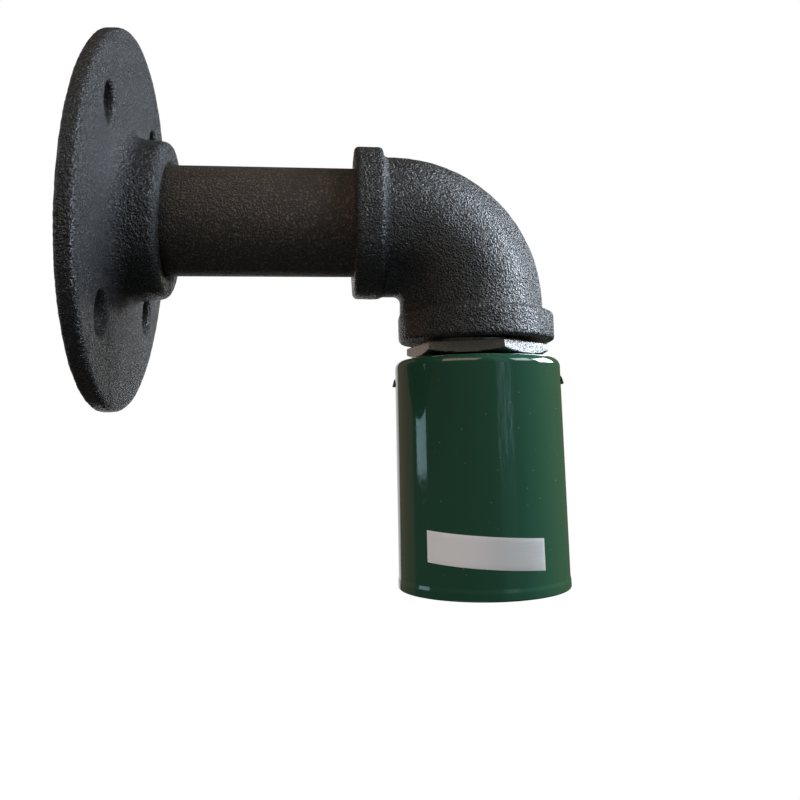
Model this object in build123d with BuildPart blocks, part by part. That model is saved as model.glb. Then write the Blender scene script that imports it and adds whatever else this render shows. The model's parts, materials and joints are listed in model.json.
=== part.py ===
from build123d import *
import os

# Industrial pipe wall light: a cast floor flange on the wall, a short black pipe, a cast
# banded elbow, and below it a turned hex bushing that carries an enamelled lamp cup with
# an E27 holder inside. Millimetres. The origin is the centre of the flange's back face,
# on the wall; +X runs out of the wall along the pipe, +Z is up, and the lamp hangs down.

# ---- driving dimensions -------------------------------------------------------------

# pipe: nominal 3/4 inch steel tube, the size that scales everything else
PIPE_R = 26.9 / 2
PIPE_BORE_R = 21.6 / 2
THREAD_GAP = 0.05                  # radial play of a turning pipe thread

# wall flange
FLANGE_R = 90.0 / 2
FLANGE_T = 3.8
BOSS_FACE_X = 13.2                 # front of the boss, from the wall
BOSS_R = 37.8 / 2                  # at the front; the casting draft makes the root wider
BOSS_ROOT_R = 39.4 / 2
BOSS_FILLET = 4.0
BOSS_EDGE = 1.5
MOUTH_CHAMFER = 1.2
RIM_EDGE = 0.9
RIM_CHAMFER = 0.5                  # on the edge that lies on the wall
SCREW_CIRCLE_R = 64.0 / 2
SCREW_COUNT = 4
SCREW_HOLE_R = 9.4 / 2
SCREW_TURN = 52.0                  # the first hole, from level towards the top
HOLE_CHAMFER = 0.6

# nipple: threaded into the flange boss and into the elbow
NIPPLE_START = 1.5
NIPPLE_CHAMFER = 0.6
THREAD_DEPTH = 12.5                # engagement of a 3/4 inch pipe thread
THREAD_SPARE = 0.5                 # a socket is this much deeper than what is screwed in

# elbow
ELBOW_FACE_X = 57.5
ELBOW_REACH = 29.8                 # from each band's face to the other band's axis
BAND_R = 37.6 / 2
BAND_W = 6.8
BAND_EDGE = 0.9
BODY_R = 32.6 / 2
BEND_R = 20.0
CAVITY_R = 11.8
CROTCH_R = 11.0                    # fuller metal on the inside of the bend
CROTCH_DROP = 7.4
NECK_CHAMFER = 0.9                 # metal in the corner between a band and its neck

# hex bushing, 3/4 inch outside and M10 inside
HEX_AF = 30.0
HEX_T = 2.7
HEX_GAP = 0.8                      # bright collar left showing under the elbow
HEX_TURN = -19.0
HEX_CHAMFER_R = 15.0
HEX_CHAMFER_OUT = 2.6
HEX_CHAMFER_UP = 1.1
BUSHING_WELL_R = 10.0
M10_R = 5.0
M10_BORE_R = 4.1
M10_LAND = 8.0                     # length of the M10 thread in the bushing
TUBE_ABOVE_LAND = 2.0
BUSH_WALL = 0.6
BUSH_COLLAR_T = 0.9
BUSH_L = 4.0

# lamp cup
CUP_R = 39.6 / 2
CUP_MOUTH_R = 38.8 / 2             # the wall draws in a little towards the mouth
CUP_H = 50.6
CUP_WALL = 0.9
CUP_CORNER = 2.0
SEAL_R = 10.0
SEAL_T = 0.7
BEAD_OUT = 0.15
BEAD_H = 2.4
BEAD_STEP = 0.6
BEAD_CHAMFER = 0.4
NIB_TURN = -10.0
NIB_DROP = 3.4
NIB_ROOT = 0.4                     # how far a nib is let into the wall
NIB_OUT = 0.75
NIB_H = 2.6
NIB_W = 2.6

# parts clamped inside the cup's top
SHEET_T = 1.2                      # steel strip of the bracket
STRAP_W = 12.0
STRAP_HALF = 14.6                  # centre of each leg, from the lamp axis
STRAP_BEND = 1.6
LEG_DROP = 11.8
FOOT_END = 6.2
STAR_T = 0.8
STAR_R = 7.9
STAR_TEETH = 12
STAR_NOTCH = 1.2
STAR_NOTCH_W = 1.6
NUT_T = 3.0
NUT_AF = 14.0
TUBE_BELOW_NUT = 1.6
CABLE_BELOW_TUBE = 1.0

# porcelain holder and its brass
HOLDER_R = 18.0
HOLDER_RIM_UP = 1.6                # how far the rim sits inside the cup's mouth
HOLDER_FLOOR = 26.0                # depth of the socket, from the rim
MOUTH_R = 13.95
HOLDER_BACK_CHAMFER = 1.0
HOLDER_RIM_EDGE = 1.6
HOLDER_MOUTH_CHAMFER = 0.6
CUT_PAST = 1.0                     # how far a cut runs on past what it cuts
SHELL_R = 13.75
SHELL_T = 0.4
SHELL_SHORT = 2.4                  # the shell stops this far inside the rim
SHELL_EYE_R = 8.5
NECK_IN = 0.4                      # the shell is plain and narrower above its thread
NECK_H = 3.6
POCKET_DEPTH = 5.5
POCKET_W = 7.4
POCKET_START = 8.9
SLOT_START = 2.0                   # the live pocket's slot, which reaches in to the rivet
SLOT_W = 5.4
BLOCK_START = 9.3
BLOCK_L = 6.0
BLOCK_W = 6.6
BLOCK_H = 5.0
FIX_SCREW_Y = 9.5
FIX_SCREW_R = 1.5
FIX_SCREW_TIP = 1.0                # what stands out behind the bracket
FIX_CLEARANCE = 0.15
FIX_HEAD_R = 2.7
FIX_HEAD_T = 1.8
FIX_HEAD_CHAMFER = 0.5
RIVET_R = 1.0
RIVET_HEAD_R = 1.7
RIVET_HEAD_T = 0.6
RIVET_GRIP = 1.5                   # how far each rivet reaches into its terminal
LIVE_RIVET_X = 4.6
NEUTRAL_RIVET_X = -11.0
STRIP_T = 0.4
STRIP_W = 4.6
STRIP_START = 2.6
FOOT_L = 3.8
TONGUE_REACH = 5.2
TONGUE_DROP = 3.4
TONGUE_ROOT = 0.25                 # gap between foot and tongue, and its first step down
TONGUE_KNEE = 1.2
TONGUE_LIP = 2.0
TONGUE_LIP_UP = 0.9
WELL_DEPTH = 1.2                   # relief in the porcelain behind the tongue
WELL_END = -7.2
WELL_SIDE = 0.4

# wiring held inside the light
CABLE_R = 3.1
CABLE_START = 10.0
CABLE_BEND = 20.0
LEAD_R = 1.1
LEAD_BEND = 2.3
EARTH_Y = 10.6

# ---- levels that follow from the above ------------------------------------------------

LAMP_X = ELBOW_FACE_X + ELBOW_REACH
SOCKET_R = PIPE_R + THREAD_GAP
NIPPLE_END = ELBOW_FACE_X + THREAD_DEPTH
SOCKET_DEPTH = THREAD_DEPTH + THREAD_SPARE
BAND_BACK_X = ELBOW_FACE_X + BAND_W
BEND_X = LAMP_X - BEND_R
CAVITY_BEND_R = ELBOW_REACH - SOCKET_DEPTH

HEX_TOP = -ELBOW_REACH - HEX_GAP
HEX_BOTTOM = HEX_TOP - HEX_T
BUSHING_TOP = -ELBOW_REACH + THREAD_DEPTH - THREAD_SPARE
CUP_TOP = HEX_BOTTOM - SEAL_T
CUP_BOTTOM = CUP_TOP - CUP_H
STRAP_TOP = CUP_TOP - CUP_WALL
STAR_TOP = STRAP_TOP - SHEET_T
NUT_TOP = STAR_TOP - STAR_T
NUT_BOTTOM = NUT_TOP - NUT_T
TUBE_BOTTOM = NUT_BOTTOM - TUBE_BELOW_NUT
TUBE_TOP = HEX_BOTTOM + M10_LAND + TUBE_ABOVE_LAND
CABLE_END_Z = TUBE_BOTTOM - CABLE_BELOW_TUBE
HOLDER_BACK = STRAP_TOP - LEG_DROP - SHEET_T
HOLDER_RIM = CUP_BOTTOM + HOLDER_RIM_UP
FLOOR_Z = HOLDER_RIM + HOLDER_FLOOR
POCKET_Z = HOLDER_BACK - POCKET_DEPTH
BRASS_Z = FLOOR_Z - SHELL_T        # underside of the sheet brass on the socket's floor
TERMINAL_X = BLOCK_START + BLOCK_L / 2

LAMP_AXIS = Axis((LAMP_X, 0, 0), (0, 0, 1))
LAMP_PROFILE = Plane(origin=(LAMP_X, 0, 0), x_dir=(1, 0, 0), z_dir=(0, -1, 0))
NIB_PROFILE = Plane(
    origin=(LAMP_X, 0, 0),
    x_dir=Vector(1, 0, 0).rotate(Axis.Z, NIB_TURN),
    z_dir=Vector(0, -1, 0).rotate(Axis.Z, NIB_TURN),
)


def lamp_level(z):
    """A level plane on the lamp axis."""
    return Plane(origin=(LAMP_X, 0, z), x_dir=(1, 0, 0), z_dir=(0, 0, 1))


def lamp_point(x, y, z):
    """A point given from the lamp axis."""
    return (LAMP_X + x, y, z)


def corner(sketch, x, y):
    """The sketch's vertex nearest to a place in its own plane."""
    return sketch.vertices().sort_by_distance((x, y, 0))[0]


def save(builder, name):
    """Names a finished piece and writes it."""
    builder.part.label = name
    export_step(builder.part, f"parts/{name}.step")


os.makedirs("parts", exist_ok=True)

# ---- wall side -------------------------------------------------------------------------

with BuildPart() as wall_flange:
    with BuildSketch(Plane.XZ) as flange_profile:
        with BuildLine():
            Polyline(
                (0, PIPE_R),
                (0, FLANGE_R),
                (FLANGE_T, FLANGE_R),
                (FLANGE_T, BOSS_ROOT_R),
                (BOSS_FACE_X, BOSS_R),
                (BOSS_FACE_X, PIPE_R),
                close=True,
            )
        make_face()
        fillet(corner(flange_profile, FLANGE_T, BOSS_ROOT_R), radius=BOSS_FILLET)
        fillet(corner(flange_profile, BOSS_FACE_X, BOSS_R), radius=BOSS_EDGE)
        fillet(corner(flange_profile, FLANGE_T, FLANGE_R), radius=RIM_EDGE)
        chamfer(corner(flange_profile, 0, FLANGE_R), length=RIM_CHAMFER)
        chamfer(corner(flange_profile, BOSS_FACE_X, PIPE_R), length=MOUTH_CHAMFER)
    revolve(axis=Axis.X)
    with Locations(Plane.YZ.offset(FLANGE_T)):
        with PolarLocations(SCREW_CIRCLE_R, SCREW_COUNT, start_angle=SCREW_TURN):
            Hole(SCREW_HOLE_R, depth=FLANGE_T)
    hole_edges = wall_flange.edges().filter_by(
        lambda edge: edge.geom_type == GeomType.CIRCLE and abs(edge.radius - SCREW_HOLE_R) < 0.01
    )
    chamfer(hole_edges.group_by(Axis.X)[-1], length=HOLE_CHAMFER)
save(wall_flange, "wall_flange")

with BuildPart() as pipe_nipple:
    with BuildSketch(Plane.YZ.offset(NIPPLE_START)):
        Circle(PIPE_R)
        Circle(PIPE_BORE_R, mode=Mode.SUBTRACT)
    extrude(amount=NIPPLE_END - NIPPLE_START)
    chamfer(pipe_nipple.edges().group_by(Axis.X)[0], length=NIPPLE_CHAMFER)
    chamfer(pipe_nipple.edges().group_by(Axis.X)[-1], length=NIPPLE_CHAMFER)
save(pipe_nipple, "pipe_nipple")

# ---- elbow -----------------------------------------------------------------------------

BEND_AXIS = Axis((BEND_X, 0, -BEND_R), (0, 1, 0))
BEND_START = Plane.YZ.offset(BEND_X)
CAVITY_AXIS = Axis((LAMP_X - CAVITY_BEND_R, 0, -CAVITY_BEND_R), (0, 1, 0))
DOWN_PLANE = Plane(origin=(LAMP_X, 0, -BEND_R), x_dir=(0, 1, 0), z_dir=(0, 0, -1))
LOWER_FACE = Plane(origin=(LAMP_X, 0, -ELBOW_REACH), x_dir=(0, 1, 0), z_dir=(0, 0, 1))

with BuildPart() as elbow:
    # the two bands
    with BuildSketch(Plane.YZ.offset(ELBOW_FACE_X)):
        Circle(BAND_R)
    extrude(amount=BAND_W)
    with BuildSketch(LOWER_FACE):
        Circle(BAND_R)
    extrude(amount=BAND_W)
    band_edges = elbow.edges().filter_by(GeomType.CIRCLE)
    fillet(band_edges, radius=BAND_EDGE)
    # the body: straight necks and a quarter bend
    with BuildSketch(Plane.YZ.offset(BAND_BACK_X)):
        Circle(BODY_R)
    extrude(amount=BEND_X - BAND_BACK_X)
    with BuildSketch(DOWN_PLANE):
        Circle(BODY_R)
    extrude(amount=ELBOW_REACH - BAND_W - BEND_R)
    with BuildSketch(BEND_START):
        Circle(BODY_R)
    revolve(axis=BEND_AXIS, revolution_arc=90)
    neck_edges = elbow.edges().filter_by(
        lambda edge: edge.geom_type == GeomType.CIRCLE and abs(edge.radius - BODY_R) < 0.01
    )
    upper_neck = neck_edges.filter_by_position(Axis.X, BAND_BACK_X - 0.01, BAND_BACK_X + 0.01)
    lower_neck = neck_edges.filter_by_position(
        Axis.Z, BAND_W - ELBOW_REACH - 0.01, BAND_W - ELBOW_REACH + 0.01
    )
    chamfer(upper_neck + lower_neck, length=NECK_CHAMFER)
    # the fuller crotch between the bands
    with BuildSketch(Plane.YZ.offset(BAND_BACK_X)) as crotch:
        with Locations((0, -CROTCH_DROP)):
            Circle(CROTCH_R)
    extrude(amount=BEND_X - BAND_BACK_X)
    with BuildSketch(DOWN_PLANE):
        with Locations((0, -CROTCH_DROP)):
            Circle(CROTCH_R)
    extrude(amount=ELBOW_REACH - BAND_W - BEND_R)
    with BuildSketch(BEND_START):
        with Locations((0, -CROTCH_DROP)):
            Circle(CROTCH_R)
    revolve(axis=BEND_AXIS, revolution_arc=90)
    # the two threaded sockets, and the cavity that turns from one's floor to the other's
    with BuildSketch(Plane.YZ.offset(ELBOW_FACE_X)):
        Circle(SOCKET_R)
    extrude(amount=SOCKET_DEPTH, mode=Mode.SUBTRACT)
    with BuildSketch(LOWER_FACE):
        Circle(SOCKET_R)
    extrude(amount=SOCKET_DEPTH, mode=Mode.SUBTRACT)
    with BuildSketch(Plane.YZ.offset(LAMP_X - CAVITY_BEND_R)):
        Circle(CAVITY_R)
    revolve(axis=CAVITY_AXIS, revolution_arc=90, mode=Mode.SUBTRACT)
save(elbow, "elbow")

# ---- hex bushing and what hangs from it --------------------------------------------------

with BuildPart() as hex_bushing:
    with BuildSketch(lamp_level(HEX_BOTTOM)):
        RegularPolygon(HEX_AF / 2, 6, major_radius=False, rotation=HEX_TURN)
    extrude(amount=HEX_T)
    with BuildSketch(LAMP_PROFILE):
        with BuildLine():
            Polyline(
                (0, HEX_BOTTOM),
                (HEX_CHAMFER_R, HEX_BOTTOM),
                (HEX_CHAMFER_R + HEX_CHAMFER_OUT, HEX_BOTTOM + HEX_CHAMFER_UP),
                (HEX_CHAMFER_R + HEX_CHAMFER_OUT, HEX_TOP),
                (0, HEX_TOP),
                close=True,
            )
        make_face()
    revolve(axis=LAMP_AXIS, mode=Mode.INTERSECT)
    with BuildSketch(lamp_level(HEX_TOP)):
        Circle(PIPE_R)
    extrude(amount=BUSHING_TOP - HEX_TOP)
    with BuildSketch(lamp_level(HEX_BOTTOM)):
        Circle(M10_R)
    extrude(amount=BUSHING_TOP - HEX_BOTTOM, mode=Mode.SUBTRACT)
    with BuildSketch(lamp_level(HEX_BOTTOM + M10_LAND)):
        Circle(BUSHING_WELL_R)
    extrude(amount=BUSHING_TOP - HEX_BOTTOM - M10_LAND, mode=Mode.SUBTRACT)
save(hex_bushing, "hex_bushing")

with BuildPart() as threaded_tube:
    with BuildSketch(lamp_level(TUBE_BOTTOM)):
        Circle(M10_R)
        Circle(M10_BORE_R, mode=Mode.SUBTRACT)
    extrude(amount=TUBE_TOP - TUBE_BOTTOM)
save(threaded_tube, "threaded_tube")

# the bush that keeps the cable off the tube's upper edge
with BuildPart() as tube_bush:
    with BuildSketch(lamp_level(TUBE_TOP)):
        Circle(M10_R)
        Circle(M10_BORE_R - BUSH_WALL, mode=Mode.SUBTRACT)
    extrude(amount=BUSH_COLLAR_T)
    with BuildSketch(lamp_level(TUBE_TOP)):
        Circle(M10_BORE_R)
        Circle(M10_BORE_R - BUSH_WALL, mode=Mode.SUBTRACT)
    extrude(amount=-BUSH_L)
save(tube_bush, "tube_bush")

with BuildPart() as seal_washer:
    with BuildSketch(lamp_level(CUP_TOP)):
        Circle(SEAL_R)
        Circle(M10_R, mode=Mode.SUBTRACT)
    extrude(amount=SEAL_T)
save(seal_washer, "seal_washer")

with BuildPart() as lamp_cup:
    with BuildSketch(LAMP_PROFILE) as cup_profile:
        with BuildLine():
            Polyline(
                (M10_R, CUP_TOP),
                (CUP_R, CUP_TOP),
                (CUP_MOUTH_R, CUP_BOTTOM + BEAD_H),
                (CUP_MOUTH_R + BEAD_OUT, CUP_BOTTOM + BEAD_H - BEAD_STEP),
                (CUP_MOUTH_R + BEAD_OUT, CUP_BOTTOM),
                (CUP_MOUTH_R - CUP_WALL, CUP_BOTTOM),
                (CUP_R - CUP_WALL, CUP_TOP - CUP_WALL),
                (M10_R, CUP_TOP - CUP_WALL),
                close=True,
            )
        make_face()
        fillet(corner(cup_profile, CUP_R, CUP_TOP), radius=CUP_CORNER)
        chamfer(
            corner(cup_profile, CUP_R - CUP_WALL, CUP_TOP - CUP_WALL),
            length=CUP_CORNER - CUP_WALL,
        )
        chamfer(corner(cup_profile, CUP_MOUTH_R + BEAD_OUT, CUP_BOTTOM), length=BEAD_CHAMFER)
    revolve(axis=LAMP_AXIS)
    # two nibs lanced out of the wall, just under the shoulder
    for side in (1, -1):
        with BuildSketch(NIB_PROFILE):
            with BuildLine():
                Polyline(
                    (side * (CUP_R - NIB_ROOT), CUP_TOP - NIB_DROP),
                    (side * (CUP_R - NIB_ROOT), CUP_TOP - NIB_DROP - NIB_H),
                    (side * (CUP_R + NIB_OUT), CUP_TOP - NIB_DROP - NIB_H),
                    close=True,
                )
            make_face()
        extrude(amount=NIB_W / 2, both=True)
save(lamp_cup, "lamp_cup")

with BuildPart() as holder_bracket:
    top_mid = STRAP_TOP - SHEET_T / 2
    foot_mid = HOLDER_BACK + SHEET_T / 2
    with BuildSketch(Plane.YZ.offset(LAMP_X - STRAP_W / 2)):
        with BuildLine():
            FilletPolyline(
                (-FOOT_END, foot_mid),
                (-STRAP_HALF, foot_mid),
                (-STRAP_HALF, top_mid),
                (STRAP_HALF, top_mid),
                (STRAP_HALF, foot_mid),
                (FOOT_END, foot_mid),
                radius=STRAP_BEND,
            )
        trace(line_width=SHEET_T)
    extrude(amount=STRAP_W)
    with BuildSketch(lamp_level(STAR_TOP)):
        Circle(M10_R)
        with Locations((0, EARTH_Y)):
            Circle(FIX_SCREW_R)
    extrude(amount=SHEET_T, mode=Mode.SUBTRACT)
    with BuildSketch(lamp_level(HOLDER_BACK)):
        with Locations((0, FIX_SCREW_Y), (0, -FIX_SCREW_Y)):
            Circle(FIX_SCREW_R)
    extrude(amount=SHEET_T, mode=Mode.SUBTRACT)
save(holder_bracket, "holder_bracket")

with BuildPart() as star_washer:
    with BuildSketch(lamp_level(NUT_TOP)):
        Circle(STAR_R)
        with PolarLocations(STAR_R, STAR_TEETH):
            Rectangle(2 * STAR_NOTCH, STAR_NOTCH_W, mode=Mode.SUBTRACT)
        Circle(M10_R, mode=Mode.SUBTRACT)
    extrude(amount=STAR_T)
save(star_washer, "star_washer")

with BuildPart() as lock_nut:
    with BuildSketch(lamp_level(NUT_BOTTOM)):
        RegularPolygon(NUT_AF / 2, 6, major_radius=False)
        Circle(M10_R, mode=Mode.SUBTRACT)
    extrude(amount=NUT_T)
save(lock_nut, "lock_nut")

# ---- earth connection on the bracket -------------------------------------------------------

TAG_T = 0.6
TAG_EYE_R = 2.4
TAG_NECK_W = 2.0
TAG_LAP = 1.0                      # how far the neck runs on over the barrel
TAG_X = -3.0                       # where the tag's barrel starts
BARREL_L = 4.0
BARREL_R = 1.45
BARREL_FLOOR = 0.8
EARTH_HEAD_R = 2.2
EARTH_HEAD_T = 1.8
BARREL_Z = STAR_TOP - BARREL_R

with BuildPart() as earth_tag:
    with BuildSketch(lamp_level(STAR_TOP - TAG_T)):
        with Locations((0, EARTH_Y)):
            Circle(TAG_EYE_R)
        with Locations(((TAG_X - TAG_LAP) / 2, EARTH_Y)):
            Rectangle(TAG_LAP - TAG_X, TAG_NECK_W)
        with Locations((0, EARTH_Y)):
            Circle(FIX_SCREW_R, mode=Mode.SUBTRACT)
    extrude(amount=TAG_T)
    with BuildSketch(Plane(lamp_point(TAG_X - BARREL_L, EARTH_Y, BARREL_Z), z_dir=(1, 0, 0))):
        Circle(BARREL_R)
    extrude(amount=BARREL_L)
    with BuildSketch(Plane(lamp_point(TAG_X - BARREL_L, EARTH_Y, BARREL_Z), z_dir=(1, 0, 0))):
        Circle(LEAD_R)
    extrude(amount=BARREL_L - BARREL_FLOOR, mode=Mode.SUBTRACT)
save(earth_tag, "earth_tag")

with BuildPart() as earth_screw:
    with BuildSketch(lamp_level(STAR_TOP - TAG_T)):
        with Locations((0, EARTH_Y)):
            Circle(EARTH_HEAD_R)
    extrude(amount=-EARTH_HEAD_T)
    with BuildSketch(lamp_level(STAR_TOP - TAG_T)):
        with Locations((0, EARTH_Y)):
            Circle(FIX_SCREW_R)
    extrude(amount=TAG_T + SHEET_T)
save(earth_screw, "earth_screw")

# ---- porcelain holder -------------------------------------------------------------------------

with BuildPart() as holder_body:
    with BuildSketch(LAMP_PROFILE) as holder_profile:
        with BuildLine():
            Polyline(
                (0, HOLDER_BACK),
                (HOLDER_R, HOLDER_BACK),
                (HOLDER_R, HOLDER_RIM),
                (MOUTH_R, HOLDER_RIM),
                (MOUTH_R, FLOOR_Z),
                (0, FLOOR_Z),
                close=True,
            )
        make_face()
        chamfer(corner(holder_profile, HOLDER_R, HOLDER_BACK), length=HOLDER_BACK_CHAMFER)
        fillet(corner(holder_profile, HOLDER_R, HOLDER_RIM), radius=HOLDER_RIM_EDGE)
        chamfer(corner(holder_profile, MOUTH_R, HOLDER_RIM), length=HOLDER_MOUTH_CHAMFER)
    revolve(axis=LAMP_AXIS)
    # terminal pockets, open at the back and at the side for the screwdriver
    with BuildSketch(lamp_level(POCKET_Z)):
        for side in (1, -1):
            with Locations((side * (POCKET_START + HOLDER_R + CUT_PAST) / 2, 0)):
                Rectangle(HOLDER_R + CUT_PAST - POCKET_START, POCKET_W)
        with Locations(((SLOT_START + BLOCK_START) / 2, 0)):
            Rectangle(BLOCK_START - SLOT_START, SLOT_W)
    extrude(amount=POCKET_DEPTH, mode=Mode.SUBTRACT)
    with BuildSketch(lamp_level(FLOOR_Z)):
        with Locations((0, FIX_SCREW_Y), (0, -FIX_SCREW_Y)):
            Circle(FIX_SCREW_R + FIX_CLEARANCE)
        with Locations((LIVE_RIVET_X, 0), (NEUTRAL_RIVET_X, 0)):
            Circle(RIVET_R)
    extrude(amount=HOLDER_BACK - FLOOR_Z, mode=Mode.SUBTRACT)
    # the well that the contact's tongue springs back into
    with BuildSketch(lamp_level(FLOOR_Z)):
        with Locations(((STRIP_START + WELL_END) / 2, 0)):
            Rectangle(STRIP_START - WELL_END, STRIP_W + 2 * WELL_SIDE)
    extrude(amount=WELL_DEPTH, mode=Mode.SUBTRACT)
save(holder_body, "holder_body")

with BuildPart() as screw_shell:
    with BuildSketch(LAMP_PROFILE):
        with BuildLine():
            Polyline(
                (SHELL_EYE_R, FLOOR_Z),
                (SHELL_R - NECK_IN, FLOOR_Z),
                (SHELL_R - NECK_IN, BRASS_Z - NECK_H),
                (SHELL_R, BRASS_Z - NECK_H - NECK_IN),
                (SHELL_R, HOLDER_RIM + SHELL_SHORT),
                (SHELL_R - SHELL_T, HOLDER_RIM + SHELL_SHORT),
                (SHELL_R - SHELL_T, BRASS_Z - NECK_H - NECK_IN),
                (SHELL_R - SHELL_T - NECK_IN, BRASS_Z - NECK_H),
                (SHELL_R - SHELL_T - NECK_IN, BRASS_Z),
                (SHELL_EYE_R, BRASS_Z),
                close=True,
            )
        make_face()
    revolve(axis=LAMP_AXIS)
    with BuildSketch(lamp_level(BRASS_Z)):
        with Locations((0, FIX_SCREW_Y), (0, -FIX_SCREW_Y)):
            Circle(FIX_SCREW_R + FIX_CLEARANCE)
        with Locations((NEUTRAL_RIVET_X, 0)):
            Circle(RIVET_R)
    extrude(amount=SHELL_T, mode=Mode.SUBTRACT)
save(screw_shell, "screw_shell")

with BuildPart() as bracket_screws:
    with BuildSketch(lamp_level(BRASS_Z)):
        with Locations((0, FIX_SCREW_Y), (0, -FIX_SCREW_Y)):
            Circle(FIX_SCREW_R)
    extrude(amount=HOLDER_BACK + SHEET_T + FIX_SCREW_TIP - BRASS_Z)
    with BuildSketch(lamp_level(BRASS_Z)):
        with Locations((0, FIX_SCREW_Y), (0, -FIX_SCREW_Y)):
            Circle(FIX_HEAD_R)
    extrude(amount=-FIX_HEAD_T)
    chamfer(bracket_screws.edges().group_by(Axis.Z)[0], length=FIX_HEAD_CHAMFER)
save(bracket_screws, "bracket_screws")

# the centre contact's riveted foot, and its springy tongue, which bends at the foot's end
with BuildPart() as contact_foot:
    with BuildSketch(lamp_level(FLOOR_Z - STRIP_T)):
        with Locations((STRIP_START + FOOT_L / 2, 0)):
            Rectangle(FOOT_L, STRIP_W)
        with Locations((LIVE_RIVET_X, 0)):
            Circle(RIVET_R, mode=Mode.SUBTRACT)
    extrude(amount=STRIP_T)
save(contact_foot, "contact_foot")

with BuildPart() as centre_contact:
    tongue_z = FLOOR_Z - STRIP_T / 2
    with BuildSketch(LAMP_PROFILE):
        with BuildLine():
            FilletPolyline(
                (STRIP_START - TONGUE_ROOT, tongue_z),
                (STRIP_START - TONGUE_KNEE, tongue_z - TONGUE_ROOT),
                (STRIP_START - TONGUE_REACH, tongue_z - TONGUE_DROP),
                (STRIP_START - TONGUE_REACH - TONGUE_LIP, tongue_z - TONGUE_DROP + TONGUE_LIP_UP),
                radius=(0.8, 1.2),
            )
        trace(line_width=STRIP_T)
    extrude(amount=STRIP_W / 2, both=True)
save(centre_contact, "centre_contact")

with BuildPart() as contact_rivets:
    for rivet_x in (LIVE_RIVET_X, NEUTRAL_RIVET_X):
        with BuildSketch(lamp_level(BRASS_Z)):
            with Locations((rivet_x, 0)):
                Circle(RIVET_HEAD_R)
        extrude(amount=-RIVET_HEAD_T)
        with BuildSketch(lamp_level(BRASS_Z)):
            with Locations((rivet_x, 0)):
                Circle(RIVET_R)
        extrude(amount=POCKET_Z + RIVET_GRIP - BRASS_Z)
save(contact_rivets, "contact_rivets")

# ---- terminals and leads -----------------------------------------------------------------------

TERMINAL_FOOT_T = 0.9
TERMINAL_FOOT_W = 4.6
WIRE_DEPTH = 3.4
CLAMP_SCREW_R = 1.3
CLAMP_HEAD_R = 1.9
CLAMP_HEAD_T = 1.6
CLAMP_Z = POCKET_Z + 2.6

for name, side, rivet_x in (
    ("live_terminal", 1, LIVE_RIVET_X),
    ("neutral_terminal", -1, NEUTRAL_RIVET_X),
):
    foot_tip = min(side * rivet_x - RIVET_HEAD_R, BLOCK_START)
    with BuildPart() as terminal:
        with BuildSketch(lamp_level(POCKET_Z)):
            with Locations((side * TERMINAL_X, 0)):
                Rectangle(BLOCK_L, BLOCK_W)
        extrude(amount=BLOCK_H)
        # the foot that reaches in to the rivet
        with BuildSketch(lamp_level(POCKET_Z)):
            with Locations((side * (foot_tip + TERMINAL_X) / 2, 0)):
                Rectangle(TERMINAL_X - foot_tip, TERMINAL_FOOT_W)
        extrude(amount=TERMINAL_FOOT_T)
        with BuildSketch(lamp_level(POCKET_Z)):
            with Locations((rivet_x, 0)):
                Circle(RIVET_R)
        extrude(amount=RIVET_GRIP, mode=Mode.SUBTRACT)
        with BuildSketch(lamp_level(POCKET_Z + BLOCK_H)):
            with Locations((side * TERMINAL_X, 0)):
                Circle(LEAD_R)
        extrude(amount=-WIRE_DEPTH, mode=Mode.SUBTRACT)
        with BuildSketch(Plane(lamp_point(side * (TERMINAL_X + LEAD_R), 0, CLAMP_Z), z_dir=(side, 0, 0))):
            Circle(CLAMP_SCREW_R)
        extrude(amount=BLOCK_L, mode=Mode.SUBTRACT)
    save(terminal, name)

with BuildPart() as terminal_screws:
    for side in (1, -1):
        block_face = BLOCK_START + BLOCK_L
        with BuildSketch(Plane(lamp_point(side * (TERMINAL_X + LEAD_R), 0, CLAMP_Z), z_dir=(side, 0, 0))):
            Circle(CLAMP_SCREW_R)
        extrude(amount=block_face - TERMINAL_X - LEAD_R)
        with BuildSketch(Plane(lamp_point(side * block_face, 0, CLAMP_Z), z_dir=(side, 0, 0))):
            Circle(CLAMP_HEAD_R)
        extrude(amount=CLAMP_HEAD_T)
save(terminal_screws, "terminal_screws")

LEAD_DROP = 2.7                    # how far the leads hang below the cable's end
LEAD_SLOPE = 0.3
LEAD_RUN_Z = CABLE_END_Z - LEAD_DROP
WIRE_END_Z = POCKET_Z + BLOCK_H - WIRE_DEPTH
CORE_X = 1.25
CORE_Y = 0.72

for name, side in (("live_lead", 1), ("neutral_lead", -1)):
    with BuildPart() as lead:
        with BuildLine() as route:
            FilletPolyline(
                lamp_point(side * CORE_X, -CORE_Y, CABLE_END_Z),
                lamp_point(side * CORE_X, -CORE_Y, LEAD_RUN_Z),
                lamp_point(side * TERMINAL_X, 0, LEAD_RUN_Z - LEAD_SLOPE),
                lamp_point(side * TERMINAL_X, 0, WIRE_END_Z),
                radius=LEAD_BEND,
            )
        with BuildSketch(Plane(route.line @ 0, z_dir=route.line % 0)):
            Circle(LEAD_R)
        sweep()
    save(lead, name)

EARTH_TURN_X = -11.5
EARTH_TURN_Y = 9.6

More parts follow.
